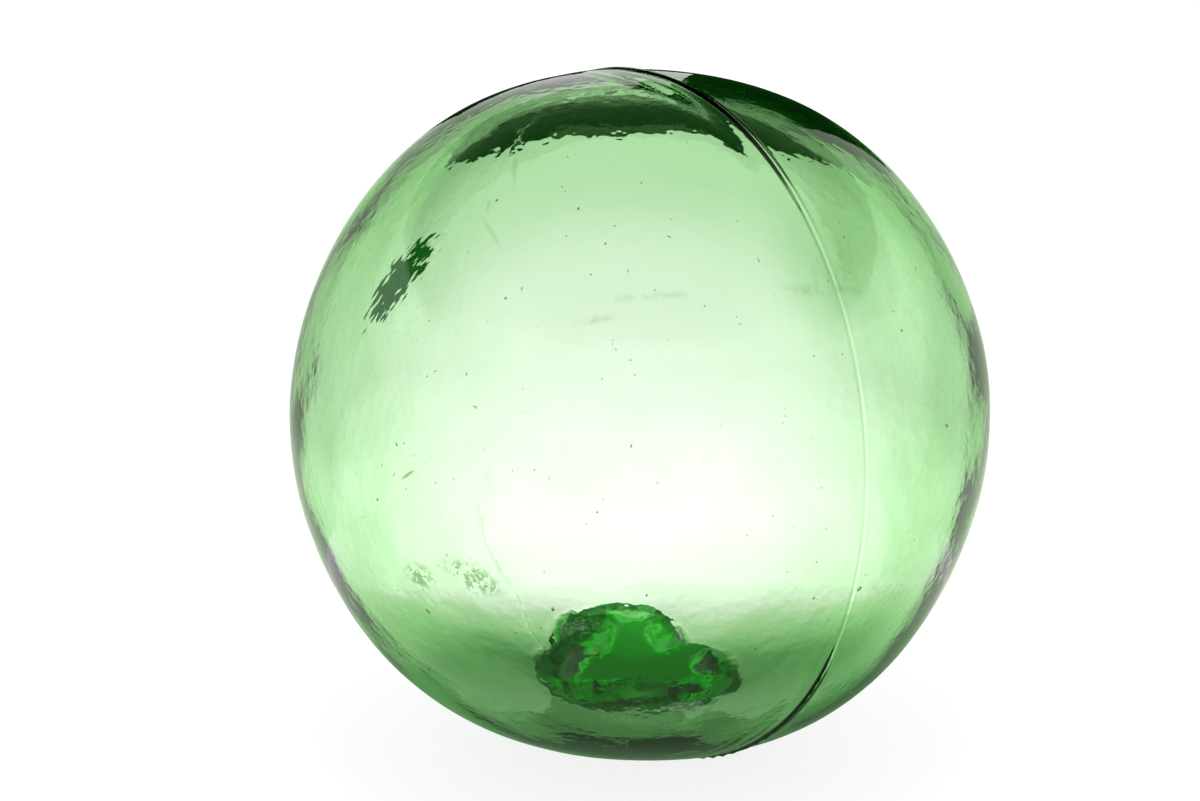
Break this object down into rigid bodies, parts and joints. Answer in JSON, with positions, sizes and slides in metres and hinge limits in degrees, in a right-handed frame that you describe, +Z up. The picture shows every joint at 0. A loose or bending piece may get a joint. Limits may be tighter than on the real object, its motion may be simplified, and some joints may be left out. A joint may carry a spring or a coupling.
{
  "type": "glass fishing float",
  "caption": "Sealed ball of clear green blown glass with a raised mould seam and a seal button: a float for a fishing net, or an ornament.",
  "frame": {"origin": "centre of the ball's box, on the flat spot that it lies on", "axes": "+Z up; the front, where the mould seam curves down the right side, faces -Y; the seal button is low at the back, towards +Y"},
  "size_m": [0.127, 0.127, 0.1255],
  "materials": {
    "glass": "clear bottle-green blown glass with a softly hammered surface, seed bubbles and light scuffs"
  },
  "bodies": {
    "root": {"glass_ball": "glass"}
  },
  "joints": []
}
